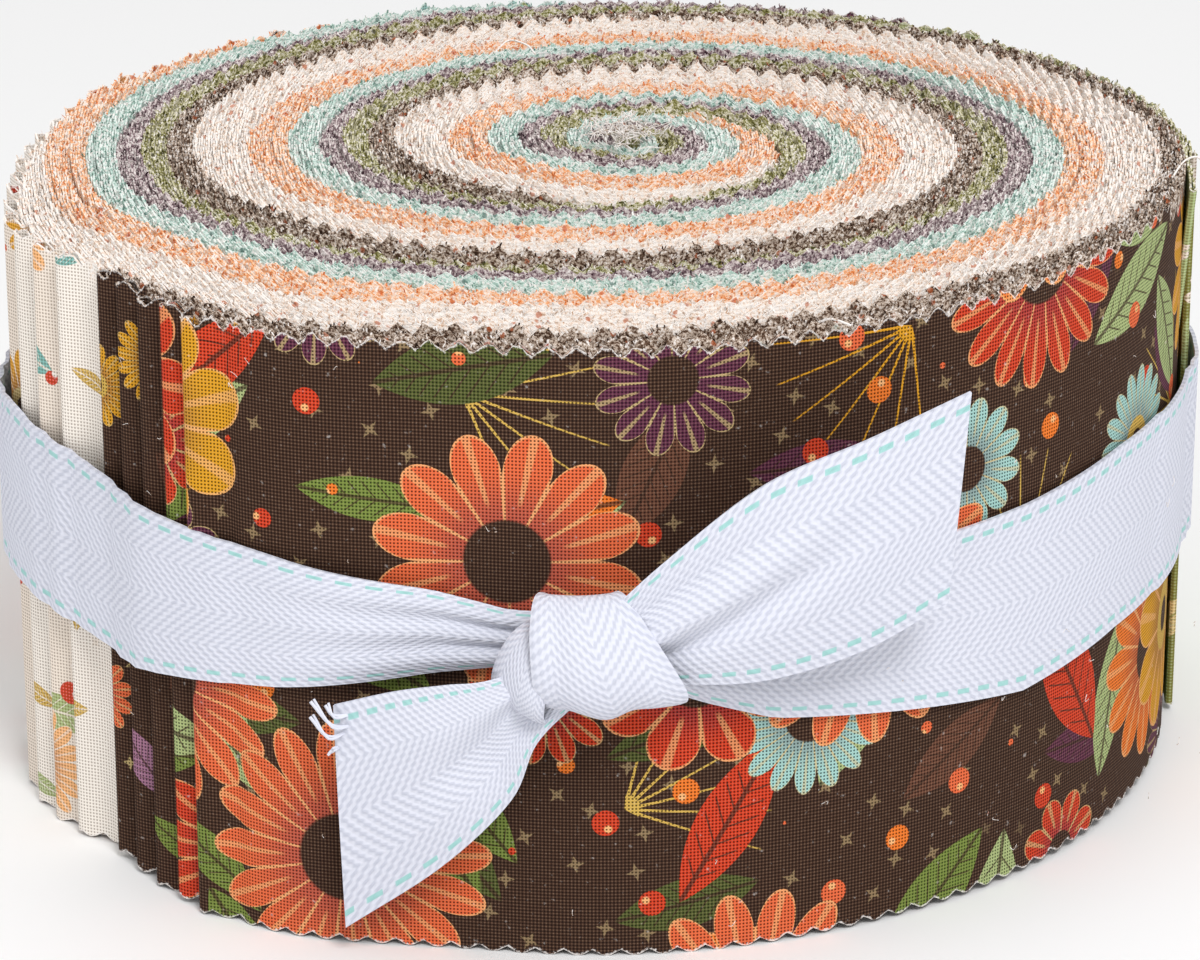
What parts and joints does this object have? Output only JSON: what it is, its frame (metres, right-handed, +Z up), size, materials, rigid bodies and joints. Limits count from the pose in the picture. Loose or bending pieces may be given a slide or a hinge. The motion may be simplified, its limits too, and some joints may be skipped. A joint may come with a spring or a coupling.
{
  "type": "fabric strip roll",
  "caption": "Roll of folded cotton strips with pinked edges, wound in one spiral and standing on its cut edges, tied round the middle with a twill ribbon knotted at the front.",
  "frame": {"origin": "centre of the roll's flat base, on the surface that it stands on", "axes": "+Z up, along the axis of the winding; -Y towards the knot"},
  "size_m": [0.1266, 0.1318, 0.065],
  "materials": {
    "printed_cotton": "plain-woven printed quilting cotton, matt, pinked edges",
    "twill_ribbon": "white herringbone twill ribbon, soft sheen"
  },
  "bodies": {
    "root": {"strip_roll": "printed_cotton", "ribbon_tie": "twill_ribbon"}
  },
  "joints": []
}
